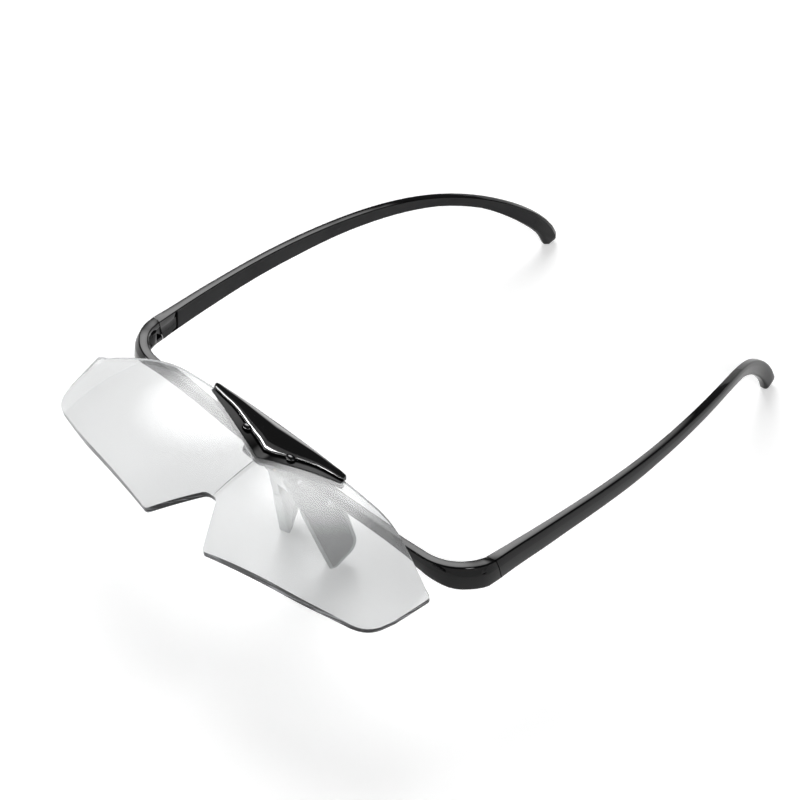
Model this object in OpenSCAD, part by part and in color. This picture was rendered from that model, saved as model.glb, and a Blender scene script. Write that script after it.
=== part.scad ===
// Flip-up magnifying glasses, opened and standing on a table with the lens flipped up.
// The front faces -Y, the temples run back along +Y, +X is the wearer's right and +Z is up.
// The origin is on the table, under the middle of the object's box.
// Every piece is drawn from the temple hinges: y = 0 where a temple starts, z = 0 at its top edge.
// stand() then sets the piece on the table.

/* [Stance] */
// Height of the temples' top edge at the hinge above the table
stand_h = 42; // [41:0.5:45]

/* [Front bar] */
// Distance from the middle plane to the inner face at a temple hinge
hinge_x = 70; // [68:0.5:73]
// Distance from the temple hinges forward to the back of the bar at its middle
bar_reach = 13.6; // [13:0.2:15]
// Radius of the bar's gentle bow, seen from above
bar_bow_r = 825; // [600:25:1200]
// Radius of the inner side of each corner, seen from above
corner_r = 12.9; // [12:0.1:13.4]
// Height of the bar at its middle
bar_mid_h = 3.7; // [3.4:0.1:4.4]
// Depth of the bar from front to back
bar_depth = 2.6; // [2.4:0.1:3]
// Height of the end pieces and of the temples at the hinge
hinge_h = 7.8; // [7.4:0.1:8.4]
// Width of the end pieces and of the temples at the hinge, along their top
hinge_w = 3.3; // [3.2:0.1:3.7]

/* [Temples] */
// Length of a temple along its top edge
temple_len = 163.6; // [162:0.2:168]
// Angle at which a temple starts outward
splay_a = 3.7; // [3:0.1:4.2]
// Width of a temple along its middle
temple_w = 2.4; // [2.3:0.1:3]
// Height of a temple behind the bend over the ear
temple_tail_h = 3.6; // [3.5:0.1:4.2]
// Height of a temple at its tip
temple_tip_h = 5.6; // [4.8:0.1:5.8]
// Thickness of the matt inlay on the inner face
inlay_t = 0.5; // [0.4:0.05:0.6]
// Thickness of the steel core
core_t = 1.0; // [0.8:0.05:1.1]
// Height of the steel core
core_h = 2.2; // [1.6:0.1:2.4]

/* [Temple hinge] */
// Distance from the inner face outward to the hinge screw's axis, negative is inward
pivot_in = 0.9; // [0.8:0.05:1]
// Distance from the parting line forward to the hinge screw's axis
pivot_back = 3.3; // [3.2:0.05:3.5]
// Height of the slot in the fork
slot_h = 4.2; // [3.8:0.1:4.6]
// Radius of the hinge screw's shank
hinge_screw_r = 0.8; // [0.7:0.05:0.9]
// Gap at the parting line between end piece and temple, on each side of it
part_gap = 0.15; // [0.1:0.01:0.2]
// Distance by which the parting line slants back for each unit to the outside
part_out = 0.25; // [0.15:0.01:0.3]
// Distance by which the parting line slants back for each unit down
part_down = 0.18; // [0.1:0.01:0.2]

/* [Lens] */
// Thickness of the lens's rim
lens_rim_t = 1.8; // [1.6:0.1:2.2]
// Radius of each domed front surface
dome_r = 96; // [92:1:104]
// Radius of each hollow rear surface
hollow_r = 150; // [135:1:190]
// Radius of the domed zone
zone_r = 36.6; // [36.2:0.1:37]
// Angle of the lens below the horizontal when it is flipped up
tilt_a = 10.6; // [8:0.2:12]
// Angle by which each lens half turns down to its side
wrap_a = 5.4; // [4.4:0.2:6.4]
// Distance from the middle plane to the lens's outer corner
lens_x = 71.4; // [70:0.2:73]
// Length of a lens half from its reference point forward to the nose corner
lens_front = 35; // [33:0.5:36]

/* [Flip hinge] */
// Distance from the temple hinges forward to the flip pin's axis
flip_reach = 18.2; // [18.1:0.1:18.6]
// Height of the flip pin's axis below the temples' top edge
flip_drop = 0.5; // [0.2:0.1:0.8]
// Radius of the flip pin
flip_pin_r = 0.8; // [0.7:0.05:0.9]
// Radius of the lugs and knuckles round the pin
lug_r = 1.9; // [1.8:0.02:1.92]
// Half the width of the middle lug
mid_lug_x = 3.3; // [3:0.1:3.5]
// Width of each of the carrier's knuckles
knuckle_w = 5; // [4:0.2:6]
// Width of each outer lug
outer_lug_w = 3; // [2:0.2:4]

/* [Bridge] */
// Half the width of the bridge cover at its back edge
cover_x = 25.9; // [25:0.1:27]
// Height of the cover's back edge above the temples' top edge
cover_top = 13.4; // [13.2:0.1:14]
// Thickness of the carrier's plate under the lens
plate_t = 1.8; // [1.6:0.1:2.2]
// Distance from the middle plane to each clamp screw
clamp_x = 8; // [7.4:0.2:8.6]
// Radius of a clamp screw's shank
clamp_screw_r = 0.8; // [0.7:0.05:0.85]

/* [Nose piece] */
// Distance from the middle plane to the middle of a leg at the table
leg_foot_x = 8.1; // [7.8:0.1:9.4]
// Thickness of a leg
leg_t = 2; // [1.8:0.1:2.2]
// Thickness of a nose pad
pad_t = 1.3; // [1.1:0.1:1.8]
// Angle by which the legs' faces turn outward to the back
flare_a = 20; // [16:1:24]

/* [Hidden] */
$fn = 48;

// Clearances: run_c for a turning fit, fit_c for parts that are fixed together, air_c round moving parts.
run_c = 0.05;
fit_c = 0.02;
air_c = 0.3;
// Length by which a cut runs past the surface it opens, and by which joined blocks sink into each other.
past = 1;
sink = 0.4;
// A size larger than the whole object, for cutting planes.
huge = 300;
// Facets of the large round lens surfaces.
lens_fn = 256;

plastic = [0.03, 0.03, 0.035];
matt = [0.12, 0.12, 0.13];
steel = [0.75, 0.76, 0.78];
brass = [0.80, 0.65, 0.35];
clear = [0.85, 0.90, 0.95, 0.45];
soft = [0.20, 0.20, 0.22];

// Vectors and outlines.
function unit(v) = v / norm(v);
function rad(a) = a * PI / 180;
function along(table, s) = lookup(s, table);

// Points of an arc that rounds the corner b between a and c.
function corner_arc(a, b, c, r, n = 8) =
    let (
        u = unit(a - b), v = unit(c - b),
        half = acos(u * v) / 2,
        centre = b + unit(u + v) * r / sin(half),
        from = b + u * r / tan(half) - centre,
        to = b + v * r / tan(half) - centre,
        a0 = atan2(from[1], from[0]),
        turn = atan2(from[0] * to[1] - from[1] * to[0], from * to)
    )
    [for (i = [0:n]) centre + r * [cos(a0 + turn * i / n), sin(a0 + turn * i / n)]];

// A closed outline from corners [x, y, radius], where radius 0 keeps the corner sharp.
function rounded(corners, steps = 8) =
    let (n = len(corners), at = [for (k = corners) [k[0], k[1]]])
    [for (i = [0:n - 1]) each (corners[i][2] == 0 ? [at[i]]
        : corner_arc(at[(i + n - 1) % n], at[i], at[(i + 1) % n], corners[i][2], steps))];

// A solid through rings of equally many points, with flat ends.
module skin(rings) {
    n = len(rings[0]);
    last = len(rings) - 1;
    polyhedron(
        points = [for (ring = rings) each ring],
        faces = concat(
            [[for (i = [0:n - 1]) i]],
            [for (k = [0:last - 1], i = [0:n - 1])
                let (a = k * n + i, b = k * n + (i + 1) % n) each [[a, a + n, b + n], [a, b + n, b]]],
            [[for (i = [n - 1:-1:0]) last * n + i]]
        ),
        convexity = 10
    );
}

// A ring of section points [outward, up] at p, on a path that heads a degrees from +X and climbs c degrees.
function ring(p, a, c, section) =
    let (
        out = [sin(a), -cos(a), 0],
        up = [-cos(a) * sin(c), -sin(a) * sin(c), cos(c)]
    )
    [for (q = section) p + q[0] * out + q[1] * up];

// Overall stance.
flip_at = [0, -flip_reach, -flip_drop];
lens_at = [0, -23, 7.14];
lens_corner_cut = 0.16;
lens_tip_y = lens_at[1] - lens_front * cos(tilt_a) + lens_corner_cut;
tip_r = temple_tip_h / 2;

// The right temple's top inner edge: heading and slope change with the length s along it.
temple_step = 4;
temple_n = ceil(temple_len / temple_step);
temple_ds = temple_len / temple_n;
temple_mids = [for (i = [0:temple_n - 1]) (i + 0.5) * temple_ds];
bow_from = 115;
bend_from = 72;
hook_from = 142;
function temple_turn(s) =
    -splay_a + 0.061 * s + 0.00134 * s * s - 0.0146 * pow(max(0, s - bow_from), 2);
function temple_bend(s) =
    0.05 * s + 0.0058 * pow(max(0, s - bend_from), 2) + 0.0013 * pow(max(0, s - hook_from), 3);
function sum(v) = v * [for (i = v) 1];

// The starting slope is the one at which the tip comes down to the table, and just into it.
tip_flat = 0.1;
tip_low = tip_r * cos(temple_bend(temple_len)) + tip_r - tip_flat;
temple_run = temple_ds * sum([for (s = temple_mids) cos(temple_bend(s))]);
temple_drop = temple_ds * sum([for (s = temple_mids) sin(temple_bend(s))]);
slope_a = asin((stand_h - tip_low) / norm([temple_run, temple_drop])) - atan2(temple_drop, temple_run);
function temple_fall(s) = slope_a + temple_bend(s);
function temple_dir(s) = [
    -sin(temple_turn(s)) * cos(temple_fall(s)),
    cos(temple_turn(s)) * cos(temple_fall(s)),
    -sin(temple_fall(s))
];
temple_path = [
    for (i = 0, p = [hinge_x, part_gap, 0]; i <= temple_n;
        p = p + temple_ds * temple_dir((i + 0.5) * temple_ds), i = i + 1) p
];
temple_end = temple_path[temple_n];

// The whole is centred between the lens's front and the temple tips.
back_y = temple_end[1] + tip_r * (1 - sin(temple_fall(temple_len)));
mid_y = (lens_tip_y + back_y) / 2;

module stand() {
    translate([0, -mid_y, stand_h]) children();
}

// side is 1 for the right hand side and -1 for the left.
module on_side(side) {
    if (side > 0) children();
    else mirror([1, 0, 0]) children();
}

module both_sides() {
    children();
    mirror([1, 0, 0]) children();
}

// How much wider the end pieces and temples are at the hinge's bottom than along their top.
hinge_flare = 0.9;

bar_mid_top = 1;

// Front bar: t is the length along its back edge from the middle.
corner_x = hinge_x - corner_r;
bow_a = asin(corner_x / (bar_bow_r - corner_r));
bow_len = bar_bow_r * rad(bow_a);
corner_y = -bar_reach + bar_bow_r - (bar_bow_r - corner_r) * cos(bow_a);
corner_end_a = acos((corner_y + part_gap) / corner_r);
bar_len = bow_len + corner_r * rad(corner_end_a - bow_a);
bar_h = [[0, bar_mid_h], [40, bar_mid_h + 0.1], [57, 5.2], [66, hinge_h - 0.2], [bar_len, hinge_h]];
bar_d = [[0, bar_depth], [60, bar_depth + 0.1], [68, 2.9], [bar_len, hinge_w]];
bar_flare = [[0, 0.3], [55, 0.35], [62, 1], [68, 1.7], [74, 1.7], [bar_len, hinge_flare]];
bar_top = [[0, bar_mid_top], [62, 1.15], [70, 0.75], [bar_len, 0]];

function bar_heading(t) =
    t < bow_len ? t / bar_bow_r * 180 / PI
    : bow_a + (t - bow_len) / corner_r * 180 / PI;
function bar_point(t) =
    let (a = bar_heading(t))
    t < bow_len ? [bar_bow_r * sin(a), -bar_reach + bar_bow_r * (1 - cos(a))]
    : [corner_x + corner_r * sin(a), corner_y - corner_r * cos(a)];

// Outer side of a section, from the top down: it flares by f to a soft ridge and on to the bottom.
function outer_side(w, f, h, r) = [[w, 0, 0.75 * r], [w + 0.7 * f, -0.36 * h, 1.2], [w + f, -h, r]];

// Section of the bar, from its back top corner outward and down.
function bar_section(w, f, h) = rounded(concat([[0, 0, 0.35]], outer_side(w, f, h, 0.8), [[0, -h, 0.35]]), 3);

// Lays a section into the parting face, y behind the hinge's parting line, on one side.
function part_ring(side, y, section) =
    [for (q = section) [side * (hinge_x + q[0]), y + part_out * q[0] - part_down * q[1], q[1]]];

function bar_ring(t) =
    let (
        s = abs(t), side = sign(t) == 0 ? 1 : sign(t),
        p = bar_point(s),
        section = bar_section(along(bar_d, s), along(bar_flare, s), along(bar_h, s))
    )
    s >= bar_len ? part_ring(side, -part_gap, section)
    : ring([side * p[0], p[1], along(bar_top, s)], side * bar_heading(s), 0, section);

corner_steps = 12;
bow_steps = 8;
bar_stops = concat(
    [for (i = [0:bow_steps - 1]) bow_len * i / bow_steps],
    [for (i = [0:corner_steps]) bow_len + (bar_len - bow_len) * i / corner_steps]
);
bar_rings = concat(
    [for (i = [len(bar_stops) - 1:-1:1]) bar_ring(-bar_stops[i])],
    [for (t = bar_stops) bar_ring(t)]
);

// Temple hinge: a fork on the end piece, a tongue on the temple and a screw from below.
pivot = [hinge_x + pivot_in, -pivot_back, 0];
plate_h = (hinge_h - slot_h) / 2;
tongue_r = 2.2;
slot_r = tongue_r + air_c;
tongue_h = slot_h - 0.2;
slot_out = hinge_x + hinge_w - air_c;
tongue_out = slot_out - 0.2;
tongue_in = 0.5;
part_deep = part_gap + part_out * hinge_w + part_down * hinge_h;
insert_r = 1.4;
insert_h = 1.3;
head_r = 1.35;
head_h = 0.8;

module at_pivot(z = 0) {
    translate(pivot + [0, 0, z]) children();
}

// Flip hinge.
washer_t = 0.4;
washer_gap = 0.05;
knuckle_x = mid_lug_x + washer_t + 2 * washer_gap;
outer_lug_x = knuckle_x + knuckle_w + 0.2;
pin_half = outer_lug_x + outer_lug_w;
spring_t = 0.3;
spring_gap = 0.1;
spring_y = -flip_reach + lug_r + spring_gap;
detent_flat = lug_r - 0.2;
flip_range = 80;

// A cylinder along X from x0 to x1, round the flip axis.
module round_axis(r, x0, x1) {
    translate([x0, flip_at[1], flip_at[2]])
        rotate([0, 90, 0]) cylinder(r = r, h = x1 - x0);
}

// A lug round the flip axis with a web back to the bar.
module lug(x0, x1) {
    round_axis(lug_r, x0, x1);
    translate([x0, flip_at[1], flip_at[2] - lug_r])
        cube([x1 - x0, flip_reach - bar_reach - bar_depth + sink, 2 * lug_r]);
}

// The nose bridge hangs under the bar's middle on two screws from above.
bar_mid_y = -bar_reach - bar_depth / 2;
bar_mid_bottom = bar_mid_top - bar_mid_h;
nose_screw_x = 2.2;
nose_screw_r = 0.6;
nose_head_r = 1.1;
nose_head_h = 0.7;
nose_screw_in = 3;

module front_bar() {
    color(plastic) stand() difference() {
        union() {
            skin(bar_rings);
            both_sides() lug(outer_lug_x, pin_half);
            lug(-mid_lug_x, mid_lug_x);
        }
        both_sides() {
            at_pivot(-plate_h - slot_h) {
                cylinder(r = slot_r, h = slot_h);
                translate([-slot_r - past, 0, 0])
                    cube([slot_out - pivot[0] + slot_r + past, pivot_back + 2 * past, slot_h]);
                translate([-slot_r - past, -slot_r, 0]) cube([slot_r + past, slot_r + past, slot_h]);
            }
            at_pivot(-hinge_h - past)
                cylinder(r = hinge_screw_r + fit_c, h = hinge_h - plate_h + past);
            at_pivot(-hinge_h - past) cylinder(r = head_r + 0.1, h = head_h + past);
            at_pivot(-plate_h - past) cylinder(r = insert_r + fit_c, h = insert_h + past);
            translate([nose_screw_x, bar_mid_y, -huge / 2]) cylinder(r = nose_screw_r + 0.1, h = huge);
            translate([nose_screw_x, bar_mid_y, bar_mid_top]) cylinder(r = nose_head_r + 0.1, h = past);
            translate([knuckle_x - 0.2, spring_y - past, flip_at[2] - lug_r])
                cube([knuckle_w + 0.4, past + spring_t + 0.05, 2 * lug_r + past]);
        }
        round_axis(flip_pin_r + 0.01, -pin_half - past, pin_half + past);
    }
}

module flip_pin() {
    color(steel) stand() round_axis(flip_pin_r, -pin_half, pin_half);
}

module friction_washers() {
    color(brass) stand() both_sides() difference() {
        round_axis(lug_r - 0.1, mid_lug_x + washer_gap, mid_lug_x + washer_gap + washer_t);
        round_axis(flip_pin_r + run_c, mid_lug_x, knuckle_x);
    }
}

// Two flat springs that bear on the knuckles' flats.
module detent_springs() {
    color(steel) stand() both_sides()
        translate([knuckle_x, spring_y, flip_at[2] - lug_r + 0.2])
            cube([knuckle_w, spring_t, 2 * lug_r - 0.4]);
}

// Nose bridge: a saddle with two legs, each a plate that leans out, back and flares.
leg_top = [1.2, -17.1, -6];
leg_drop = stand_h + leg_top[2];
rake_a = 18.5;
leg_splay_a = atan((leg_foot_x - leg_top[0]) / leg_drop);

// Places a leg's own plane: x through the leg, y to the back and z up along it.
module in_leg() {
    translate(leg_top) rotate([rake_a, 0, 0]) rotate([0, -leg_splay_a, 0]) rotate([0, 0, -flare_a]) children();
}

// Turns an outline drawn as [back, up] into a plate from x0 to x1 through the leg.
module leg_plate(x0, x1) {
    translate([x0, 0, 0]) rotate([90, 0, 90]) linear_extrude(x1 - x0) children();
}

// D-shaped pad outline with a straight front edge, cut off by the table.
leg_len = leg_drop / cos(rake_a) / cos(leg_splay_a);
pad_top = -18.4;
pad_head_r = 5.1;
pad_foot_r = 5;
pad_front_r = 1.2;
module pad_outline(inset = 0) {
    hull() {
        translate([6, pad_top - 6.2]) circle(r = pad_head_r - inset, $fn = 40);
        translate([pad_foot_r, 5.6 - leg_len]) circle(r = pad_foot_r - inset, $fn = 40);
        translate([1.5, pad_top - pad_front_r]) circle(r = pad_front_r - inset, $fn = 32);
        translate([pad_front_r, 0.4 - leg_len]) circle(r = pad_front_r - inset, $fn = 32);
    }
}

rim_w = 0.9;
pad_lip = 0.8;
backing_x = -0.4;
leg_outline = [
    [0.5, 2, 0], [3.4, 2, 0], [5.2, -3, 3], [7.6, -9, 4], [8.6, -15, 4], [8, -20.2, 2], [0.8, -20.2, 0]
];

module table_cut() {
    translate([-huge / 2, -huge / 2, -stand_h]) cube([huge, huge, huge]);
}

neck_x = 4;
neck_bottom = -8;
neck_y = -bar_reach - bar_depth - 0.2;
neck_depth = bar_depth + 0.4;
saddle_drop = 8.5;

module nose_bridge() {
    color(plastic) stand() difference() {
        union() {
            both_sides() in_leg() {
                leg_plate(-leg_t / 2, leg_t / 2) polygon(rounded(leg_outline));
                leg_plate(backing_x, leg_t / 2) pad_outline(rim_w);
            }
            translate([-neck_x, neck_y, neck_bottom])
                cube([2 * neck_x, neck_depth, bar_mid_bottom - fit_c - neck_bottom]);
            hull() both_sides() in_leg() translate([-leg_t / 2, 0.5, -saddle_drop]) cube([leg_t, 4.5, saddle_drop]);
        }
        translate([-huge / 2, neck_y - huge, bar_mid_bottom - fit_c]) cube(2 * huge);
        both_sides() translate([nose_screw_x, bar_mid_y, bar_mid_bottom - nose_screw_in])
            cylinder(r = nose_screw_r + fit_c, h = nose_screw_in + past);
    }
}

module nose_screws() {
    color(steel) stand() both_sides() translate([nose_screw_x, bar_mid_y, bar_mid_bottom - nose_screw_in + 0.2]) {
        cylinder(r = nose_screw_r, h = nose_screw_in + bar_mid_h);
        translate([0, 0, nose_screw_in + bar_mid_h - 0.2]) cylinder(r = nose_head_r, h = nose_head_h);
    }
}

// A pad sits on the leg's inner face and wraps its edge with a rim.
module nose_pad(side) {
    color(soft) stand() on_side(side) intersection() {
        in_leg() difference() {
            leg_plate(backing_x - pad_t, pad_lip) pad_outline();
            leg_plate(backing_x - fit_c, leg_t) pad_outline(rim_w - 0.05);
            leg_plate(-leg_t / 2 - 0.05, leg_t) offset(delta = 0.05) polygon(rounded(leg_outline));
        }
        table_cut();
    }
}

module nose_pad_right() { nose_pad(1); }
module nose_pad_left() { nose_pad(-1); }

// Lens: each half has its own plane, tilted forward and turned down to its side.
module in_half() {
    translate(lens_at) rotate([tilt_a, 0, 0]) rotate([0, wrap_a, 0]) children();
}

module right_half() {
    intersection() {
        translate([0, -huge / 2, -huge / 2]) cube(huge);
        children();
    }
}

zone_at = [33.7, -9.7];
notch_y = -19.3;
rear_y = 4.3;
seat_y = 7;
side_y = -22.2;
lens_outline = rounded([
    [0, rear_y, 0],
    [11.5, rear_y, 1],
    [13.5, seat_y, 1],
    [25.2, seat_y, 1],
    [26.6, 8.2, 0.8],
    [47.5, 7.7, 45],
    [lens_x, -1.5, 1.5],
    [lens_x - 3.3, side_y, 4],
    [47, -28.5, 120],
    [12.2, -lens_front, 1.6],
    [2, notch_y, 3],
    [0, notch_y, 0]
]);

// Everything on one side that lies below the lens's front surface, raised by c.
module below_front(c) {
    in_half() {
        translate([-huge / 2, -huge / 2, c - 40]) cube([huge, huge, 40]);
        intersection() {
            translate([zone_at[0], zone_at[1], zone_r * zone_r / 2 / dome_r - dome_r])
                sphere(r = dome_r + c, $fn = lens_fn);
            translate([-huge / 2, -huge / 2, -1]) cube([huge, huge, 40]);
        }
    }
}

// Everything on one side that lies below the lens's rear surface, lowered by c.
module below_rear(c) {
    in_half() {
        translate([-huge / 2, -huge / 2, -lens_rim_t - c - 40]) cube([huge, huge, 40]);
        intersection() {
            translate([zone_at[0], zone_at[1], zone_r * zone_r / 2 / hollow_r - hollow_r - lens_rim_t])
                sphere(r = hollow_r - c, $fn = lens_fn);
            translate([-huge / 2, -huge / 2, -lens_rim_t - c - 1]) cube([huge, huge, 40]);
        }
    }
}

module lens_walls(grow = 0, down = 10) {
    in_half() translate([0, 0, -down]) linear_extrude(down + 20)
        offset(delta = grow) polygon(lens_outline);
}

module lens() {
    color(clear) stand() both_sides() right_half() difference() {
        intersection() {
            lens_walls();
            below_front(0);
        }
        below_rear(0);
    }
}

// Bridge cover: a wedge that rests on the lens with a V front, closed at the back.
cover_back = lens_at[1] + 8.3;
cover_front = [[0, -23], [9.3, -20], [18, -17.7], [cover_x, -15.6]];
cover_arch = 1;
function lens_top(x, y) =
    let (
        v = lens_at[1] - y,
        r2 = pow(x - zone_at[0], 2) + pow(v + zone_at[1], 2)
    )
    lens_at[2] - v * tan(tilt_a) - x * tan(wrap_a) + max(0, (zone_r * zone_r - r2) / 2 / dome_r);
cover_lip = 0.7;
cover_end = 1.7;
cover_end_drop = 2.2;
cover_base = 3;
cover_wall = 1.1;
boss_at = [clamp_x, -16.6, 0];
clamp_insert_r = 1.15;
clamp_insert_h = 2.8;
clamp_head_r = 1.35;
clamp_head_h = 0.85;
clamp_seat = 1.2;
plate_gap = 0.05;
plate_top = lens_under(boss_at[0], boss_at[1]) - plate_gap;
insert_z = plate_top + 0.4;

function lens_under(x, y) =
    let (
        v = lens_at[1] - y,
        r2 = pow(x - zone_at[0], 2) + pow(v + zone_at[1], 2)
    )
    lens_at[2] - v * tan(tilt_a) - x * tan(wrap_a) - lens_rim_t + (zone_r * zone_r - r2) / 2 / hollow_r;

function cover_row(x, z_ends, y_front) =
    let (
        z_back = z_ends + cover_arch * (1 - pow(min(1, abs(x) / cover_x), 2)),
        z_front = lens_top(min(abs(x), cover_x), y_front) + cover_lip,
        y_mid = cover_back + (y_front - cover_back) * 0.5,
        z_mid = z_back + (z_front - z_back) * 0.38,
        edge = min(0.5, (cover_back - y_front) / 4)
    )
    [[x, cover_back, cover_base], [x, cover_back, z_back - edge], [x, cover_back - edge, z_back],
     [x, y_mid, z_mid], [x, y_front, z_front], [x, y_front, cover_base]];

cover_rows = concat(
    [cover_row(-cover_x - cover_end, cover_top - cover_end_drop, cover_back - 0.9)],
    [for (i = [3:-1:1]) cover_row(-cover_front[i][0], cover_top, cover_front[i][1])],
    [for (k = cover_front) cover_row(k[0], cover_top, k[1])],
    [cover_row(cover_x + cover_end, cover_top - cover_end_drop, cover_back - 0.9)]
);

plate_side = [[2, -24.2], [22, -17.1], [26.5, -15.9], [26.5, cover_back - 0.2]];
plate_outline = concat(plate_side, [for (i = [3:-1:0]) [-plate_side[i][0], plate_side[i][1]]]);

module bridge_cover() {
    hollow_front = lens_at[1] + rear_y + 0.1;
    hollow = [[0, clamp_x - 2.2], [clamp_x + 2.2, cover_x - cover_wall]];
    color(plastic) stand() difference() {
        skin(cover_rows);
        both_sides() {
            right_half() {
                intersection() {
                    lens_walls(0.1, 20);
                    below_front(fit_c);
                }
                below_rear(plate_gap - fit_c - 0.05);
            }
            for (k = hollow) translate([k[0] - (k[0] == 0 ? past : 0), hollow_front, 0])
                cube([k[1] - k[0] + (k[0] == 0 ? past : 0), cover_back - cover_wall - hollow_front, 10.6]);
            translate(boss_at) cylinder(r = clamp_insert_r + fit_c, h = insert_z + clamp_insert_h + 0.1);
        }
    }
}

// The carrier's plate grips the lens from below, and its wall runs down to two knuckles on the pin.
module lens_carrier() {
    wall_bottom = flip_at[2] + lug_r + 0.6;
    knuckle_out = knuckle_x + knuckle_w;
    color(plastic) stand() difference() {
        union() {
            intersection() {
                linear_extrude(20) polygon(plate_outline);
                both_sides() right_half() difference() {
                    below_rear(plate_gap);
                    below_rear(plate_gap + plate_t);
                }
            }
            intersection() {
                translate([-knuckle_out, flip_at[1] - lug_r, wall_bottom]) cube([2 * knuckle_out, lug_r, 9]);
                both_sides() right_half() below_rear(plate_gap);
            }
            both_sides() {
                round_axis(lug_r, knuckle_x, knuckle_out);
                translate([knuckle_x, flip_at[1] - lug_r, flip_at[2]])
                    cube([knuckle_w, lug_r, lug_r + past]);
            }
        }
        round_axis(flip_pin_r + run_c, -huge / 2, huge / 2);
        both_sides() translate(boss_at) {
            cylinder(r = clamp_screw_r + 0.1, h = 20);
            cylinder(r = clamp_head_r + 0.15, h = plate_top - clamp_seat);
        }
        knuckle_flat(0);
        knuckle_flat(flip_range);
    }
}

// Flat on the knuckles that faces the detent springs when the lens is at the angle a.
module knuckle_flat(a) {
    translate(flip_at) rotate([-a, 0, 0]) translate([-huge / 2, detent_flat, -lug_r / 2 - 0.2])
        cube([huge, past, lug_r + 0.4]);
}

module clamp_screws() {
    color(steel) stand() both_sides() translate(boss_at + [0, 0, plate_top - clamp_seat - clamp_head_h]) {
        cylinder(r = clamp_head_r, h = clamp_head_h);
        cylinder(r = clamp_screw_r, h = clamp_head_h + clamp_seat + 0.4 + clamp_insert_h - 0.2);
    }
}

module clamp_inserts() {
    color(brass) stand() both_sides() translate(boss_at + [0, 0, insert_z]) difference() {
        cylinder(r = clamp_insert_r, h = clamp_insert_h);
        cylinder(r = clamp_screw_r + fit_c, h = clamp_insert_h);
    }
}

// Temples.
temple_widths = [
    [0, hinge_w], [9, temple_w + 0.4], [30, temple_w], [110, temple_w], [135, temple_w - 0.2],
    [150, temple_w], [temple_len, temple_w + 0.6]
];
temple_flare = [[0, hinge_flare], [12, 0.6], [30, 0.35], [temple_len, 0.3]];
temple_heights = [
    [0, hinge_h], [25, hinge_h - 0.6], [42, 6.5], [58, 6], [74, 5.1], [88, 4.6],
    [112, temple_tail_h], [128, temple_tail_h], [148, temple_tip_h - 0.4], [temple_len, temple_tip_h]
];
temple_edges = [[0, 0.2], [140, 0.2], [temple_len, 1]];
trace = 0.02;
inlay_from = 7;
inlay_to = temple_len - 8;
core_from = 12;
core_to = temple_len - 14;
inlay_edge = 0.35;
core_room = 0.05;

// 1 inside the stretch, 0 outside it.
function within(s, from, to) = s >= from && s <= to ? 1 : 0;

// Section of a temple, from its top inner corner outward and down, with the inlay's and core's recess.
function temple_section(s) =
    let (
        w = along(temple_widths, s), h = along(temple_heights, s),
        ti = max(trace, inlay_t * within(s, inlay_from, inlay_to)),
        tc = ti + max(trace, (core_t + core_room) * within(s, core_from, core_to)),
        e = along(temple_edges, s),
        ci = h / 2 - inlay_edge - (e - temple_edges[0][1]),
        cc = core_h / 2 + core_room,
        r = min(0.8, w / 3) + (e - temple_edges[0][1]) / 2
    )
    concat(
        rounded(concat([[e, 0, 0]], outer_side(w, along(temple_flare, s), h, r), [[e, -h, 0]]), 3),
        [[0, -h + e], [0, -h / 2 - ci], [ti, -h / 2 - ci], [ti, -h / 2 - cc], [tc, -h / 2 - cc],
         [tc, -h / 2 + cc], [ti, -h / 2 + cc], [ti, -h / 2 + ci], [0, -h / 2 + ci], [0, -e]]
    );

function temple_ring(i, section) =
    i == 0 ? part_ring(1, part_gap, section)
    : ring(temple_path[i], 90 + temple_turn(i * temple_ds), -temple_fall(i * temple_ds), section);

tip_steps = 5;
function shrink(section, k) =
    let (n = len(section), mid = [for (q = section) 1] * section / n)
    [for (q = section) mid + k * (q - mid)];

temple_rings = concat(
    [for (i = [0:temple_n]) temple_ring(i, temple_section(i * temple_ds))],
    [for (j = [1:tip_steps]) let (
            a = 82 * j / tip_steps,
            s = temple_len,
            base = temple_ring(temple_n, shrink(temple_section(s), cos(a)))
        ) [for (p = base) p + tip_r * sin(a) * temple_dir(s)]]
);

module temple(side) {
    color(plastic) stand() on_side(side) difference() {
        union() {
            intersection() {
                skin(temple_rings);
                table_cut();
            }
            translate([0, 0, -plate_h - slot_h / 2 - tongue_h / 2]) {
                at_pivot() cylinder(r = tongue_r, h = tongue_h);
                translate([hinge_x + tongue_in, -pivot_back, 0])
                    cube([tongue_out - hinge_x - tongue_in, pivot_back + part_deep + sink, tongue_h]);
            }
        }
        at_pivot(-hinge_h) cylinder(r = hinge_screw_r + run_c, h = hinge_h);
    }
}

module temple_right() { temple(1); }
module temple_left() { temple(-1); }

// A strip that fills part of the recess in the temple's inner face.
module strip(side, tone, from, to, u0, u1, reach) {
    color(tone) stand() on_side(side) skin([
        for (i = [0:temple_n]) let (s = i * temple_ds, h = along(temple_heights, s), e = along(temple_edges, s) - temple_edges[0][1],
                v = reach == 0 ? h / 2 - inlay_edge - e - fit_c : reach)
            if (s >= from && s <= to)
                temple_ring(i, [[u0, -h / 2 + v], [u1, -h / 2 + v], [u1, -h / 2 - v], [u0, -h / 2 - v]])
    ]);
}

module temple_inlay(side) { strip(side, matt, inlay_from + trace, inlay_to, 0, inlay_t - fit_c, 0); }
module core_wire(side) {
    strip(side, steel, core_from, core_to, inlay_t + fit_c, inlay_t + core_t, core_h / 2);
}
module temple_inlay_right() { temple_inlay(1); }
module temple_inlay_left() { temple_inlay(-1); }
module core_wire_right() { core_wire(1); }
module core_wire_left() { core_wire(-1); }

module hinge_screw(side) {
    color(steel) stand() on_side(side) at_pivot(-hinge_h) {
        cylinder(r = head_r, h = head_h);
        cylinder(r = hinge_screw_r, h = hinge_h - plate_h + insert_h - 0.1);
    }
}

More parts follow.
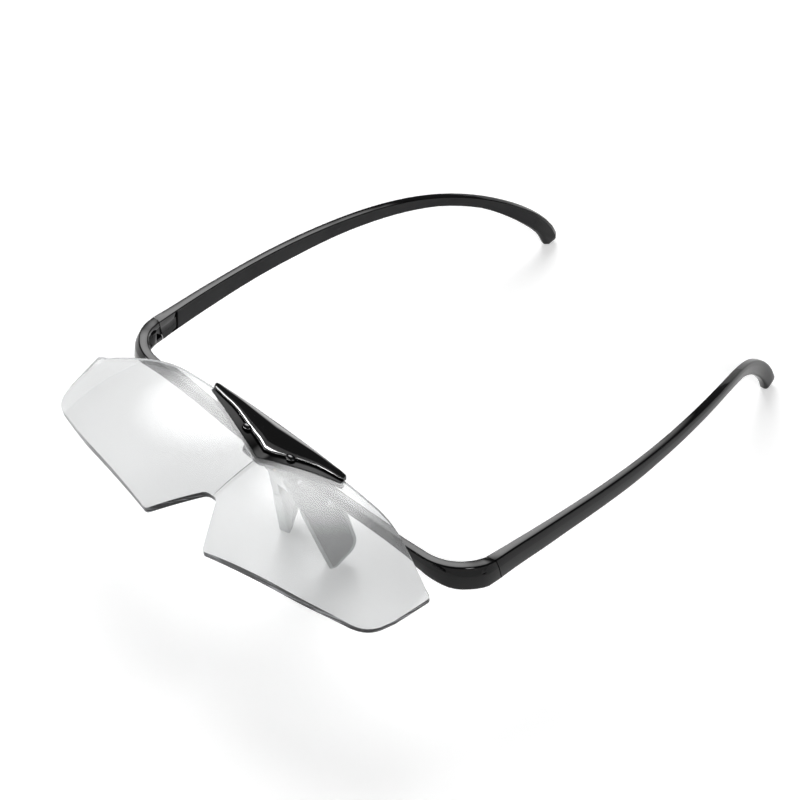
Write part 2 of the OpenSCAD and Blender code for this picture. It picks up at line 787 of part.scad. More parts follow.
module hinge_insert(side) {
    color(brass) stand() on_side(side) at_pivot(-plate_h) difference() {
        cylinder(r = insert_r, h = insert_h);
        cylinder(r = hinge_screw_r + fit_c, h = insert_h);
    }
}

module hinge_screw_right() { hinge_screw(1); }
module hinge_screw_left() { hinge_screw(-1); }
module hinge_insert_right() { hinge_insert(1); }
module hinge_insert_left() { hinge_insert(-1); }

front_bar();
nose_bridge();
nose_pad_right();
nose_pad_left();
nose_screws();
lens();
lens_carrier();
bridge_cover();
clamp_screws();
clamp_inserts();
flip_pin();
friction_washers();
detent_springs();
temple_right();
temple_left();
temple_inlay_right();
temple_inlay_left();
core_wire_right();
core_wire_left();
hinge_screw_right();
hinge_screw_left();
hinge_insert_right();
hinge_insert_left();
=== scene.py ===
# %% [markdown]
# Flip-up magnifying glasses: a clear lens moulding that swings up on a cross pin, a slim black front
# and two long bowed temples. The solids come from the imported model, so every piece is already in its
# place. This lesson gives them their finish and builds again the pieces that need a finer surface.

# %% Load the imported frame
import bpy
import bmesh
import math
from mathutils import Matrix, Vector


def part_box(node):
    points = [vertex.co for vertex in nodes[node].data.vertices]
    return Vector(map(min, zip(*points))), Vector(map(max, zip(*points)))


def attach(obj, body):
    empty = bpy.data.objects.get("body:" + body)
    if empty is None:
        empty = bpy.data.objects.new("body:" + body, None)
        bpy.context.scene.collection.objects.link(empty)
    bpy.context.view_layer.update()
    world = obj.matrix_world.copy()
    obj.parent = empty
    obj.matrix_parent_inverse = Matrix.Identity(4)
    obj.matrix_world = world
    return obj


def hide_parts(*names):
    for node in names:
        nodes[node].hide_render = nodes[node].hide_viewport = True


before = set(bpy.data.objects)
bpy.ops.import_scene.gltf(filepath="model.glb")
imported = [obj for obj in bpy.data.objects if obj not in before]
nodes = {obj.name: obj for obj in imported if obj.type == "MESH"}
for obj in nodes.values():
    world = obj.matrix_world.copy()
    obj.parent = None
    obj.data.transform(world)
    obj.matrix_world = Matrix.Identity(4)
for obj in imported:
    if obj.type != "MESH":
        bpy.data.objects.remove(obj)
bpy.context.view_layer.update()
MM = 0.001

# %% [markdown]
# Every size below is counted from the temple hinges: y is 0 where a temple starts and z is 0 at its
# top edge. The flip pin's place is known in both, so it ties the two together.

# %% Find the hinge line
FLIP_REACH, FLIP_DROP = 18.2 * MM, 0.5 * MM
pin_low, pin_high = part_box("flip_pin")
home = Vector((0, (pin_low.y + pin_high.y) / 2 + FLIP_REACH, (pin_low.z + pin_high.z) / 2 + FLIP_DROP))


def at(x, y, z):
    """A point in millimetres from the hinge line, in the model's frame."""
    return home + Vector((x, y, z)) * MM


print("hinge line at", [round(v, 4) for v in home])

# %% [markdown]
# The photograph was taken with a long lens from the front right, well above the table. A camera is
# set by the three directions of its own axes and its distance.

# %% Camera at the photograph's viewing angle
TURN, RAISE = math.radians(45.89), math.radians(42.74)
DISTANCE, SHIFT_RIGHT, SHIFT_UP = 1398.6, 24.09, 10.73
SENSOR_WIDTH, FOCAL_LENGTH = 36, 213.75
CLIP_NEAR, CLIP_FAR = 0.05, 20
right = Vector((math.cos(TURN), math.sin(TURN), 0))
back = Vector((math.sin(TURN) * math.cos(RAISE), -math.cos(TURN) * math.cos(RAISE), math.sin(RAISE)))
up = back.cross(right)
camera_data = bpy.data.cameras.new("camera")
camera_data.sensor_width = SENSOR_WIDTH
camera_data.lens = FOCAL_LENGTH
camera_data.clip_start, camera_data.clip_end = CLIP_NEAR, CLIP_FAR
camera = bpy.data.objects.new("camera", camera_data)
bpy.context.scene.collection.objects.link(camera)
stands = Matrix.Translation(at(*(back * DISTANCE + right * SHIFT_RIGHT + up * SHIFT_UP)))
camera.matrix_world = stands @ Matrix((right, up, back)).transposed().to_4x4()
bpy.context.scene.camera = camera
bpy.context.scene.view_settings.view_transform = "Standard"
print("camera", round(DISTANCE * MM, 3), "m away")

# %% [markdown]
# Node trees are long to write out, so small helpers do it: they add a node, a noise, a ramp that maps
# one stretch of values on to another, or a blend of two colours. Each returns the socket to link from.

# %% Helpers for materials
MIX_FIRST, MIX_SECOND, MIX_RESULT = 6, 7, 2


def put(tree, kind, **sockets):
    """A node of that kind, with its sockets set by name; a socket as the value makes a link."""
    node = tree.nodes.new(kind)
    for name, value in sockets.items():
        socket = node.inputs[name.replace("_", " ")]
        if isinstance(value, bpy.types.NodeSocket):
            tree.links.new(value, socket)
        else:
            socket.default_value = value
    return node


def noise(tree, where, scale, detail=3.0):
    return put(tree, "ShaderNodeTexNoise", Vector=where, Scale=scale, Detail=detail).outputs["Fac"]


def ramp(tree, value, start, end, low=0.0, high=1.0):
    """Maps start..end on to low..high, and what lies outside on to the nearer end."""
    node = put(tree, "ShaderNodeMapRange", Value=value, From_Min=start, From_Max=end, To_Min=low, To_Max=high)
    return node.outputs["Result"]


def spread(tree, value, low, high):
    """Maps the stretch where nearly all of a noise lies on to low..high."""
    return ramp(tree, value, 0.25, 0.75, low, high)


def blend(tree, share, first, second):
    """A mix of two colours, each three numbers or a socket; a share of 0 gives the first."""
    node = put(tree, "ShaderNodeMix", Factor=share)
    node.data_type = "RGBA"
    for place, colour in ((MIX_FIRST, first), (MIX_SECOND, second)):
        if isinstance(colour, bpy.types.NodeSocket):
            tree.links.new(colour, node.inputs[place])
        else:
            node.inputs[place].default_value = (*colour, 1)
    return node.outputs[MIX_RESULT]


def shader(name):
    """A new material: its tree, its Principled BSDF and its object coordinates."""
    material = bpy.data.materials.new(name)
    material.use_nodes = True
    tree = material.node_tree
    where = tree.nodes.new("ShaderNodeTexCoord").outputs["Object"]
    return material, tree, tree.nodes["Principled BSDF"], where


# %% [markdown]
# A moulded surface is never quite even: it has a fine grain from its mould, smudges from handling and
# hairline scratches. Each plastic could have its own copy of these nodes. As one group they are
# written once, and every plastic only sets how fine and how strong they are.

# %% The skin of a moulding as a group
def skin_group():
    """Smudges, hairline scratches and the fine grain that a moulded surface has, as values."""
    tree = bpy.data.node_groups.new("moulded_skin", "ShaderNodeTree")
    face = tree.interface
    face.new_socket("Where", in_out="INPUT", socket_type="NodeSocketVector")
    for name, value in (("Grain", 2500.0), ("Smooth", 0.1), ("Smudged", 0.2)):
        face.new_socket(name, in_out="INPUT", socket_type="NodeSocketFloat").default_value = value
    for name in ("Roughness", "Height", "Wear"):
        face.new_socket(name, in_out="OUTPUT", socket_type="NodeSocketFloat")
    given, made = tree.nodes.new("NodeGroupInput"), tree.nodes.new("NodeGroupOutput")
    where = given.outputs["Where"]
    smudge = noise(tree, where, 55.0, 4.0)
    grain = noise(tree, where, given.outputs["Grain"], 2.0)
    stretch = put(tree, "ShaderNodeMapping", Vector=where, Scale=(1800.0, 120.0, 900.0))
    hair = noise(tree, stretch.outputs["Vector"], 1.0, 2.0)
    rough = ramp(tree, smudge, 0.35, 0.7, given.outputs["Smooth"], given.outputs["Smudged"])
    tree.links.new(rough, made.inputs["Roughness"])
    tree.links.new(grain, made.inputs["Height"])
    tree.links.new(ramp(tree, hair, 0.68, 0.74), made.inputs["Wear"])
    return tree


MOULDED = skin_group()


def moulded(name, colour, worn, *, grain, smooth, smudged, depth, bump, specular=0.35, coat=0.0):
    """A plastic or rubber with the moulded skin; worn is the tint of its hairline scratches."""
    material, tree, surface, where = shader(name)
    skin = tree.nodes.new("ShaderNodeGroup")
    skin.node_tree = MOULDED
    tree.links.new(where, skin.inputs["Where"])
    skin.inputs["Grain"].default_value = grain
    skin.inputs["Smooth"].default_value = smooth
    skin.inputs["Smudged"].default_value = smudged
    tree.links.new(blend(tree, skin.outputs["Wear"], colour, worn), surface.inputs["Base Color"])
    tree.links.new(skin.outputs["Roughness"], surface.inputs["Roughness"])
    relief = put(tree, "ShaderNodeBump", Height=skin.outputs["Height"], Strength=bump, Distance=depth)
    tree.links.new(relief.outputs["Normal"], surface.inputs["Normal"])
    surface.inputs["Specular IOR Level"].default_value = specular
    surface.inputs["Coat Weight"].default_value = coat
    return material


print("group", MOULDED.name, "has", len(MOULDED.nodes), "nodes")

# %% [markdown]
# The front, the temples and the bridge cover are black plastic with a polished skin. The inner faces
# of the temples are matt, the nose bridge looks smoky grey, and the nose pads are a pale satin
# rubber. All use the same group with other values: a fine grain on gloss, a coarser one on matt.

# %% Plastics and rubber
gloss_black = moulded("gloss_black", (0.0015, 0.0015, 0.0018), (0.008, 0.008, 0.009),
                      grain=900, smooth=0.05, smudged=0.1, depth=0.00002, bump=0.03)
matt_black = moulded("matt_black", (0.012, 0.012, 0.013), (0.03, 0.03, 0.032),
                     grain=4200, smooth=0.55, smudged=0.68, depth=0.00003, bump=0.35)
pad_rubber = moulded("pad_rubber", (0.34, 0.36, 0.355), (0.4, 0.42, 0.415),
                     grain=3000, smooth=0.25, smudged=0.35, depth=0.00003, bump=0.15)
polished_black = moulded("polished_black", (0.001, 0.001, 0.0012), (0.005, 0.005, 0.006),
                         grain=900, smooth=0.04, smudged=0.08, depth=0.00001, bump=0.02, coat=0.8)
lip_black = moulded("lip_black", (0.002, 0.002, 0.0022), (0.006, 0.006, 0.007),
                    grain=900, smooth=0.06, smudged=0.12, depth=0.00002, bump=0.03, specular=0.1)
smoky_grey = moulded("smoky_grey", (0.13, 0.137, 0.136), (0.16, 0.165, 0.164),
                     grain=1500, smooth=0.1, smudged=0.18, depth=0.00002, bump=0.05)
print("made", gloss_black.name, matt_black.name, pad_rubber.name, smoky_grey.name)

# %% [markdown]
# The small hardware is turned steel, spring strip and brass. Turning leaves rings round the axis,
# and rolling leaves fine lines along the strip, so both are a wave that only the bump reads.

# %% Metals
WORN_SHADE = 0.8


def metal(name, colour, *, rough, axis, pitch):
    """A metal whose marks run across that axis; stains make it a little darker and rougher."""
    material, tree, surface, where = shader(name)
    wave = put(tree, "ShaderNodeTexWave", Vector=where, Scale=pitch, Distortion=1.5, Detail=2.0)
    wave.bands_direction = axis
    stain = noise(tree, where, 400.0)
    surface.inputs["Metallic"].default_value = 1
    tree.links.new(spread(tree, stain, rough - 0.06, rough + 0.1), surface.inputs["Roughness"])
    stained = [c * WORN_SHADE for c in colour]
    tree.links.new(blend(tree, stain, colour, stained), surface.inputs["Base Color"])
    relief = put(tree, "ShaderNodeBump", Height=wave.outputs["Fac"], Strength=0.15, Distance=0.00002)
    tree.links.new(relief.outputs["Normal"], surface.inputs["Normal"])
    return material


turned_steel = metal("turned_steel", (0.62, 0.63, 0.65), rough=0.25, axis="Z", pitch=900)
pin_steel = metal("pin_steel", (0.62, 0.63, 0.65), rough=0.2, axis="X", pitch=900)
strip_steel = metal("strip_steel", (0.52, 0.53, 0.55), rough=0.32, axis="Y", pitch=600)
turned_brass = metal("turned_brass", (0.74, 0.56, 0.26), rough=0.28, axis="Z", pitch=900)
print("made", turned_steel.name, pin_steel.name, strip_steel.name, turned_brass.name)

# %% [markdown]
# The lens is clear acrylic. Light falls through it, so it hardly shades the table: a shadow ray sees
# it as transparent. A small share of its light is scattered and not let through, which gives the
# faintly milky look of the photograph. Its side walls have a painted dark shade with painted streaks
# of refracted light, and a painted lighter tone where they are seen from within.

# %% Clear acrylic
ACRYLIC_IOR = 1.49


def let_light_through(tree, surface, share):
    """Makes shadow rays pass with that share of their light."""
    path = tree.nodes.new("ShaderNodeLightPath")
    through = put(tree, "ShaderNodeBsdfTransparent", Color=(share, share, share, 1))
    mixed = tree.nodes.new("ShaderNodeMixShader")
    tree.links.new(path.outputs["Is Shadow Ray"], mixed.inputs[0])
    tree.links.new(surface.outputs["BSDF"], mixed.inputs[1])
    tree.links.new(through.outputs["BSDF"], mixed.inputs[2])
    tree.links.new(mixed.outputs["Shader"], tree.nodes["Material Output"].inputs["Surface"])


def clear_acrylic():
    """The lens's faces: nearly clear, with a tint and a polish that vary a little."""
    material, tree, surface, where = shader("clear_acrylic")
    tint = blend(tree, noise(tree, where, 25.0), (0.86, 0.868, 0.872), (0.9, 0.907, 0.91))
    tree.links.new(tint, surface.inputs["Base Color"])
    surface.inputs["Transmission Weight"].default_value = 0.86
    surface.inputs["IOR"].default_value = ACRYLIC_IOR
    tree.links.new(spread(tree, noise(tree, where, 60.0), 0.015, 0.04), surface.inputs["Roughness"])
    let_light_through(tree, surface, 0.93)
    return material


def paint_edge_shade():
    """The lens's side walls: painted shade where they are seen from outside, with painted streaks of
    refracted light, and painted light where they are seen from within.
    """
    material, tree, surface, where = shader("lens_edge")
    stretch = put(tree, "ShaderNodeMapping", Vector=where, Scale=(90.0, 90.0, 1400.0))
    # Painted streaks of refracted light over the painted dark shade that the walls show from outside.
    painted_glint_streak = ramp(tree, noise(tree, stretch.outputs["Vector"], 1.0, 2.0), 0.53, 0.66)
    outside = blend(tree, painted_glint_streak, (0.01, 0.01, 0.011), (0.35, 0.36, 0.37))
    from_within = tree.nodes.new("ShaderNodeNewGeometry").outputs["Backfacing"]
    # Painted light: a lighter tone where a wall is seen from within the lens.
    tree.links.new(blend(tree, from_within, outside, (0.4, 0.41, 0.42)), surface.inputs["Base Color"])
    surface.inputs["Transmission Weight"].default_value = 0.2
    surface.inputs["IOR"].default_value = ACRYLIC_IOR
    tree.links.new(spread(tree, painted_glint_streak, 0.05, 0.12), surface.inputs["Roughness"])
    let_light_through(tree, surface, 0.8)
    return material


clear = clear_acrylic()
painted_edge_shade = paint_edge_shade()
print("made", clear.name, painted_edge_shade.name)

# %% [markdown]
# The solids arrive as loose triangles. A Weld modifier joins them and an Edge Split keeps the sharp
# edges, so a gentle bend shades smoothly while a corner stays crisp. The mesh itself isn't changed.
# A moulding never has a knife edge, so a Bevel between the two rounds the corners of the big parts.
# The solids of the lens and the cover are dressed too, though finer pieces take their place below.

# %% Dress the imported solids
MERGE = 1e-6
CRISP_ANGLE, CORNER_ANGLE = 32, 40


def soft_edges(piece, width, angle):
    """Rounds the edges that bend by more than that angle in degrees, by a width in millimetres."""
    bevel = piece.modifiers.new("soft edges", "BEVEL")
    bevel.width, bevel.segments, bevel.profile = width * MM, 3, 0.5
    bevel.limit_method, bevel.angle_limit = "ANGLE", math.radians(angle)
    bevel.harden_normals = True


def shade_smooth(mesh):
    mesh.polygons.foreach_set("use_smooth", [True] * len(mesh.polygons))


def dress(name, material, rounding):
    """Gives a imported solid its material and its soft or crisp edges."""
    node = nodes[name]
    node.data.materials.clear()
    node.data.materials.append(material)
    shade_smooth(node.data)
    weld = node.modifiers.new("weld", "WELD")
    weld.merge_threshold = MERGE
    if rounding:
        soft_edges(node, rounding, CORNER_ANGLE)
    split = node.modifiers.new("crisp", "EDGE_SPLIT")
    split.split_angle = math.radians(CRISP_ANGLE)
    split.use_edge_sharp = False


FINISH = {
    gloss_black: ("front_bar", "lens_carrier", "bridge_cover", "temple_right", "temple_left"),
    smoky_grey: ("nose_bridge",),
    matt_black: ("temple_inlay_right", "temple_inlay_left"),
    pad_rubber: ("nose_pad_right", "nose_pad_left"),
    clear: ("lens",),
    turned_steel: ("nose_screws", "clamp_screws", "hinge_screw_right", "hinge_screw_left"),
    pin_steel: ("flip_pin",),
    strip_steel: ("detent_springs", "core_wire_right", "core_wire_left"),
    turned_brass: ("friction_washers", "clamp_inserts", "hinge_insert_right", "hinge_insert_left"),
}
ROUNDED = {"front_bar": 0.3, "temple_right": 0.4, "temple_left": 0.4, "nose_bridge": 0.3,
           "nose_pad_right": 0.3, "nose_pad_left": 0.3, "lens_carrier": 0.15}
for material, names in FINISH.items():
    for name in names:
        dress(name, material, ROUNDED.get(name, 0.0))
print("dressed", sum(len(names) for names in FINISH.values()), "nodes")

# %% [markdown]
# Both halves of the lens are cut from the same pair of spheres, a domed front and a hollower rear.
# Each half has its own tilted plane, so a point is first turned into that plane.

# %% The lens's two spheres
LENS_AT = Vector((0, -23, 7.14))
TILT, WRAP = math.radians(10.6), math.radians(5.4)
HALF = Matrix.Rotation(TILT, 3, "X") @ Matrix.Rotation(WRAP, 3, "Y")
ZONE = Vector((33.7, -9.7, 0))
ZONE_R, DOME_R, HOLLOW_R, RIM = 36.6, 96.0, 150.0, 1.8
dome_centre = ZONE + Vector((0, 0, ZONE_R ** 2 / 2 / DOME_R - DOME_R))
hollow_centre = ZONE + Vector((0, 0, ZONE_R ** 2 / 2 / HOLLOW_R - HOLLOW_R - RIM))


def into_half(point):
    """A model point in the plane of its lens half, in millimetres, and the side it is on."""
    p = (point - home) / MM
    side = -1 if p.x < 0 else 1
    return HALF.transposed() @ (Vector((abs(p.x), p.y, p.z)) - LENS_AT), side


def out_of_half(direction, side):
    """A direction in the plane of a lens half, as a direction in the model."""
    d = HALF @ direction
    return Vector((d.x * side, d.y, d.z))


def lens_top(x, y):
    """Height of the domed front surface at that place."""
    centre = HALF @ dome_centre + LENS_AT
    return centre.z + math.sqrt(DOME_R ** 2 - (abs(x) - centre.x) ** 2 - (y - centre.y) ** 2)


print("dome", DOME_R, "mm, hollow", HOLLOW_R, "mm")

# %% [markdown]
# The lens is shown by a copy of its solid. The rim gets a fine chamfer, which draws the thin line
# round a real polished lens, and its lower outer corners are rounded further. Its shading takes the
# true normals of the spheres, so that nothing seen through it wobbles.

# %% Lens with a chamfered rim and true normals
NEAR, ALIGNED = 0.1, 0.98
SIDE_EDGE, LOW_CORNER, FRONT_EDGE = (71, -1.5), (67.7, -22.2), (47, -28.5)
LOW_CORNER_R, ARC_STEPS = 10, 8
CHAMFER = 0.2


def join_up(name):
    """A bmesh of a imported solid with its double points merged."""
    shape = bmesh.new()
    shape.from_mesh(nodes[name].data)
    bmesh.ops.transform(shape, matrix=nodes[name].matrix_world, verts=shape.verts)
    bmesh.ops.remove_doubles(shape, verts=shape.verts, dist=MERGE)
    bmesh.ops.dissolve_degenerate(shape, dist=MERGE, edges=shape.edges)
    bmesh.ops.recalc_face_normals(shape, faces=shape.faces)
    return shape


def new_object(shape, name, *materials):
    """An object with that bmesh as its mesh; the bmesh is used up."""
    mesh = bpy.data.meshes.new(name)
    shape.to_mesh(mesh)
    shape.free()
    for material in materials:
        mesh.materials.append(material)
    piece = bpy.data.objects.new(name, mesh)
    bpy.context.scene.collection.objects.link(piece)
    return piece


def add_piece(shape, name, body, *materials):
    """A visible piece that moves with that body."""
    piece = new_object(shape, name, *materials)
    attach(piece, body)
    return piece


def lies_on(place, normal, centre, radius, way):
    """Whether a face is part of that sphere and looks out of it (way 1) or into it (way -1)."""
    off = place - centre
    return abs(off.length - radius) < NEAR and normal.dot(off.normalized()) * way > ALIGNED


def surface_of(face):
    """dome, hollow, flat or wall, from where the face lies and looks."""
    place, side = into_half(face.calc_center_median())
    normal = face.normal.copy()
    normal.x *= side
    normal = HALF.transposed() @ normal
    if lies_on(place, normal, dome_centre, DOME_R, 1):
        return "dome"
    if lies_on(place, normal, hollow_centre, HOLLOW_R, -1):
        return "hollow"
    return "flat" if abs(normal.z) > ALIGNED else "wall"


def turned_away(line, middle):
    """The direction at right angles to a line that looks away from the middle of the corner."""
    across = Vector((line.y, -line.x))
    return across if across.dot(middle) < 0 else -across


def round_corner(shape, before, corner, after, radius):
    """Planes through the plate, tangent to an arc in that corner of the outline, take its tip off."""
    corner = Vector(corner)
    inward = [(Vector(p) - corner).normalized() for p in (before, after)]
    middle = (inward[0] + inward[1]).normalized()
    centre = corner + middle * (radius / math.sin(inward[0].angle(inward[1]) / 2))
    outward = [turned_away(line, middle) for line in inward]
    for side in (-1, 1):
        for step in range(1, ARC_STEPS):
            flat = outward[0].slerp(outward[1], step / ARC_STEPS)
            touch = centre + flat * radius
            place = HALF @ Vector((touch.x, touch.y, 0)) + LENS_AT
            half = [f for f in shape.faces if (f.calc_center_median().x - home.x) * side > 0]
            parts = set(half) | {e for f in half for e in f.edges} | {v for f in half for v in f.verts}
            bmesh.ops.bisect_plane(shape, geom=list(parts), plane_co=at(place.x * side, place.y, place.z),
                                   plane_no=out_of_half(Vector((flat.x, flat.y, 0)), side),
                                   clear_outer=True, dist=1e-8)
            bmesh.ops.holes_fill(shape, edges=[e for e in shape.edges if e.is_boundary])
    bmesh.ops.recalc_face_normals(shape, faces=shape.faces)


def chamfer_rim(shape):
    """A fine flat on every edge between a wall and another surface; returns how many edges."""
    kinds = {face.index: surface_of(face) for face in shape.faces}
    rim = [e for e in shape.edges if len(e.link_faces) == 2
           and (kinds[e.link_faces[0].index] == "wall") != (kinds[e.link_faces[1].index] == "wall")]
    bmesh.ops.bevel(shape, geom=rim, offset=CHAMFER * MM, offset_type="OFFSET", segments=1, profile=0.5,
                    affect="EDGES", material=-1, clamp_overlap=True)
    shape.normal_update()
    return len(rim)


def lens_piece():
    """The lens as it is seen, with the painted-shade material on its walls and sphere normals on its faces.
    """
    shape = join_up("lens")
    round_corner(shape, SIDE_EDGE, LOW_CORNER, FRONT_EDGE, LOW_CORNER_R)
    rim_edges = chamfer_rim(shape)
    normals = []
    for face in shape.faces:
        kind = surface_of(face)
        side = 1 if face.calc_center_median().x > 0 else -1
        face.smooth = True
        face.material_index = 1 if kind == "wall" else 0
        for loop in face.loops:
            point, _ = into_half(loop.vert.co)
            if kind == "dome":
                normals.append(out_of_half((point - dome_centre).normalized(), side))
            elif kind == "hollow":
                normals.append(-out_of_half((point - hollow_centre).normalized(), side))
            else:
                normals.append(face.normal.copy())
    print("rim edges", rim_edges, "faces", len(shape.faces))
    piece = add_piece(shape, "clear_lens", "lens_unit", clear, painted_edge_shade)
    piece.data.normals_split_custom_set(normals)
    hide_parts("lens")


lens_piece()

# %% [markdown]
# The bridge cover is one curved shell that stands on the lens. Its back rolls over softly, and its
# front edge is a shallow V with a flat lip before it. Shell and lip start as a grid whose points are
# moved, and a Bevel modifier rounds their edges, which catch the light. Two small studs sit on the V.

# %% Bridge cover
COVER_BACK, COVER_TOP, COVER_ARCH, COVER_X = -14.7, 13.4, 1, 25.9
END_DROP, FRONT_STEP, SLOPE = 0.5, 0.9, 2.4
ROLL, ROLL_SHARE = 0.35, 0.08
LIP_GAP, LIP_HEIGHT = 0.4, 0.3
SHELL_FLOOR, LIP_FLOOR = 0.02, 0.01
EDGE_ANGLE = 35
STUD_X, STUD_Y, STUD_R, STUD_RISE, STUD_SHAPE = 9.3, -19.7, 1.35, 0.9, (1.3, 0.85, 0.6)
FRONT = ((0, -21.6), (9.3, -19.4), (17, -17.4), (25.9, -16.3), (27.6, -15.9))
SKIRT = ((0, -24.4), (12, -21.4), (25.9, -17.5), (27.6, -16.9))
STATIONS = (0, 3.1, 6.2, 9.3, 12.2, 15.1, 18, 20.6, 23.3, 25.9, 27.6)


def between(line, x):
    """The second value of a broken line where its first is |x|."""
    x = abs(x)
    for (x0, y0), (x1, y1) in zip(line, line[1:]):
        if x <= x1:
            return y0 + (y1 - y0) * (x - x0) / (x1 - x0)
    return line[-1][1]


def sheet(rows, place):
    """A grid over the stations from left to right; place(x, w) gives each point, w from 0 to 1."""
    shape = bmesh.new()
    columns = [-x for x in STATIONS[:0:-1]] + list(STATIONS)
    bmesh.ops.create_grid(shape, x_segments=len(columns) - 1, y_segments=rows, size=1)
    for vert in shape.verts:
        column = round((vert.co.x + 1) / 2 * (len(columns) - 1))
        vert.co = at(*place(columns[column], (vert.co.y + 1) / 2))
    return shape


def close_down(shape, above):
    """Closes a sheet with walls and a floor, which runs that far above the lens."""
    grown = bmesh.ops.extrude_face_region(shape, geom=shape.faces[:])["geom"]
    for vert in (g for g in grown if isinstance(g, bmesh.types.BMVert)):
        p = (vert.co - home) / MM
        vert.co = at(p.x, p.y, lens_top(p.x, p.y) + above)
    bmesh.ops.recalc_face_normals(shape, faces=shape.faces)


def shell_point(x, w):
    """The shell from its back (w 0) to its V front (w 1), first level and then ever steeper."""
    top = COVER_TOP + COVER_ARCH - COVER_ARCH * min(1, (x / COVER_X) ** 2)
    if abs(x) > COVER_X:
        top = COVER_TOP - END_DROP
    y = COVER_BACK + (between(FRONT, x) - COVER_BACK) * w
    front = lens_top(x, between(FRONT, x)) + FRONT_STEP
    return x, y, top - (top - front) * w ** SLOPE - ROLL * (1 - min(1, w / ROLL_SHARE)) ** 2


def lip_point(x, w):
    """The flat lip, from just before the shell's V to its own wider V."""
    y = between(FRONT, x) + LIP_GAP + (between(SKIRT, x) - between(FRONT, x) - LIP_GAP) * w
    return x, y, lens_top(x, y) + LIP_HEIGHT


shell = sheet(24, shell_point)
close_down(shell, SHELL_FLOOR)
cover = add_piece(shell, "cover_shell", "lens_unit", polished_black)
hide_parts("bridge_cover")
shade_smooth(cover.data)
soft_edges(cover, 0.35, EDGE_ANGLE)
skirt = sheet(6, lip_point)
close_down(skirt, LIP_FLOOR)
lip = add_piece(skirt, "cover_lip", "lens_unit", lip_black)
shade_smooth(lip.data)
soft_edges(lip, 0.1, EDGE_ANGLE)
for side, name in ((1, "cover_stud_right"), (-1, "cover_stud_left")):
    button = bmesh.new()
    bmesh.ops.create_uvsphere(button, u_segments=32, v_segments=16, radius=STUD_R * MM)
    bmesh.ops.scale(button, vec=STUD_SHAPE, verts=button.verts)
    stud_at = at(STUD_X * side, STUD_Y, lens_top(STUD_X, STUD_Y) + STUD_RISE)
    bmesh.ops.translate(button, vec=stud_at, verts=button.verts)
    for face in button.faces:
        face.smooth = True
    add_piece(button, name, "lens_unit", polished_black)
print("cover", len(cover.data.polygons), "faces")

# %% [markdown]
# The studio is white: a table and a low wall all round. The camera sees them white, a gloss face and
# the lens see them a little dimmer, and the table still keeps a soft shadow. What is above the wall
# is dim, so the black plastic stays black on top and is rimmed with light at its edges.

# %% Table, wall and sky
PAINT, PAINT_ROUGHNESS = (0.86, 0.86, 0.86, 1), 0.9
GLASS_SHARE = 0.2
TABLE_R, TABLE_DROP = 4, 0.00005
WALL_R, WALL_HEIGHT, WALL_MIDDLE = 3.9, 1.0, 0.49
SKY_GLOW = 0.12


def white(name, glow_share, through_share):
    """A white paint with a glow that only rays which look at it see.

    glow_share is what the camera sees, through_share what a gloss face sees. A ray through the lens
    seems to count as a glossy one as well, so the lens's own share on top of it is small.
    """
    material, tree, surface, _ = shader(name)
    surface.inputs["Base Color"].default_value = PAINT
    surface.inputs["Roughness"].default_value = PAINT_ROUGHNESS
    surface.inputs["Specular IOR Level"].default_value = 0
    path = tree.nodes.new("ShaderNodeLightPath")
    seen = None
    for kind, share in (("Is Camera Ray", glow_share), ("Is Glossy Ray", through_share),
                        ("Is Transmission Ray", through_share * GLASS_SHARE)):
        part = tree.nodes.new("ShaderNodeMath")
        part.operation = "MULTIPLY_ADD"
        tree.links.new(path.outputs[kind], part.inputs[0])
        part.inputs[1].default_value = share
        part.inputs[2].default_value = 0
        if seen is not None:
            tree.links.new(seen, part.inputs[2])
        seen = part.outputs[0]
    glow = put(tree, "ShaderNodeEmission", Color=(1, 1, 1, 1), Strength=seen)
    total = tree.nodes.new("ShaderNodeAddShader")
    tree.links.new(surface.outputs["BSDF"], total.inputs[0])
    tree.links.new(glow.outputs["Emission"], total.inputs[1])
    tree.links.new(total.outputs["Shader"], tree.nodes["Material Output"].inputs["Surface"])
    return material


def stage_piece(shape, name, material):
    """A piece of the studio, which isn't part of the object."""
    piece = new_object(shape, name, material)
    return piece


table_shape = bmesh.new()
bmesh.ops.create_circle(table_shape, cap_ends=True, radius=TABLE_R, segments=64)
bmesh.ops.translate(table_shape, verts=table_shape.verts, vec=(0, 0, -TABLE_DROP))
stage_piece(table_shape, "table", white("white_table", 0.45, 0.2))
wall_shape = bmesh.new()
bmesh.ops.create_cone(wall_shape, cap_ends=False, radius1=WALL_R, radius2=WALL_R, depth=WALL_HEIGHT,
                      segments=64)
bmesh.ops.translate(wall_shape, verts=wall_shape.verts, vec=(0, 0, WALL_MIDDLE))
bmesh.ops.reverse_faces(wall_shape, faces=wall_shape.faces)
stage_piece(wall_shape, "wall", white("white_wall", 0.6, 0.5))

sky = bpy.data.worlds.new("studio")
sky.use_nodes = True
bpy.context.scene.world = sky
sky.node_tree.nodes["Background"].inputs["Color"].default_value = (1, 1, 1, 1)
sky.node_tree.nodes["Background"].inputs["Strength"].default_value = SKY_GLOW
print("table", 2 * TABLE_R, "m wide, wall", WALL_HEIGHT, "m high")

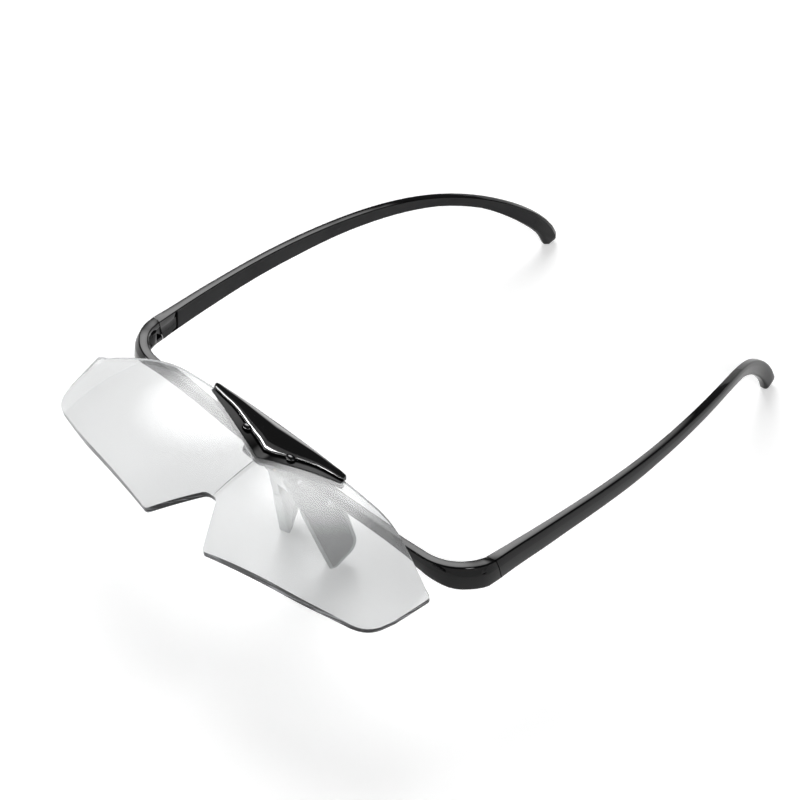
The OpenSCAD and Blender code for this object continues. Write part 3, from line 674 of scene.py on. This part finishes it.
# %% [markdown]
# A big light box hangs over the left shoulder of the scene, where both the lens and the cover's back
# mirror it towards the camera. It glows most in its middle and fades to its rim, so its reflection
# has no hard border. A slim lamp low in front lights the edges that look forward, and a small one on
# the right fills the shadows and puts a glint on the end piece.

# %% Light box and lamps
FADE_FROM = 0.3


def aim(towards, distance):
    """Turns and moves something that looks down on to the object from that direction."""
    direction = Vector(towards).normalized()
    turned = direction.to_track_quat("Z", "Y").to_matrix().to_4x4()
    return Matrix.Translation(at(0, -15, 0) + direction * distance) @ turned


def light_box(name, towards, *, distance, radius, strength):
    """A glowing disc that only mirrors and lit faces see."""
    material, tree, _, where = shader(name)
    away = put(tree, "ShaderNodeVectorMath", Vector=where)
    away.operation = "LENGTH"
    fade = put(tree, "ShaderNodeMapRange", Value=away.outputs["Value"],
               From_Min=radius * FADE_FROM, From_Max=radius, To_Min=strength, To_Max=0)
    fade.interpolation_type = "SMOOTHSTEP"
    glow = put(tree, "ShaderNodeEmission", Color=(1, 1, 1, 1), Strength=fade.outputs["Result"])
    tree.links.new(glow.outputs["Emission"], tree.nodes["Material Output"].inputs["Surface"])
    shape = bmesh.new()
    bmesh.ops.create_circle(shape, cap_ends=True, radius=radius, segments=48)
    bmesh.ops.reverse_faces(shape, faces=shape.faces)
    box = stage_piece(shape, name, material)
    box.matrix_world = aim(towards, distance)
    box.visible_camera = False


def lamp(name, towards, *, distance, width, height, radiance):
    """A rectangular lamp that the camera doesn't see."""
    data = bpy.data.lights.new(name, "AREA")
    data.shape = "RECTANGLE"
    data.size, data.size_y = width, height
    data.energy = radiance * width * height * math.pi
    strip = bpy.data.objects.new(name, data)
    bpy.context.scene.collection.objects.link(strip)
    strip.matrix_world = aim(towards, distance)
    strip.visible_camera = False


light_box("light_box", (-0.52, 0.42, 0.74), distance=1.5, radius=0.72, strength=6.5)
lamp("front_strip", (-0.5, -0.85, 0.07), distance=1.2, width=1.1, height=0.05, radiance=40.0)
lamp("fill", (0.75, -0.2, 0.63), distance=2.0, width=0.5, height=0.5, radiance=14.0)
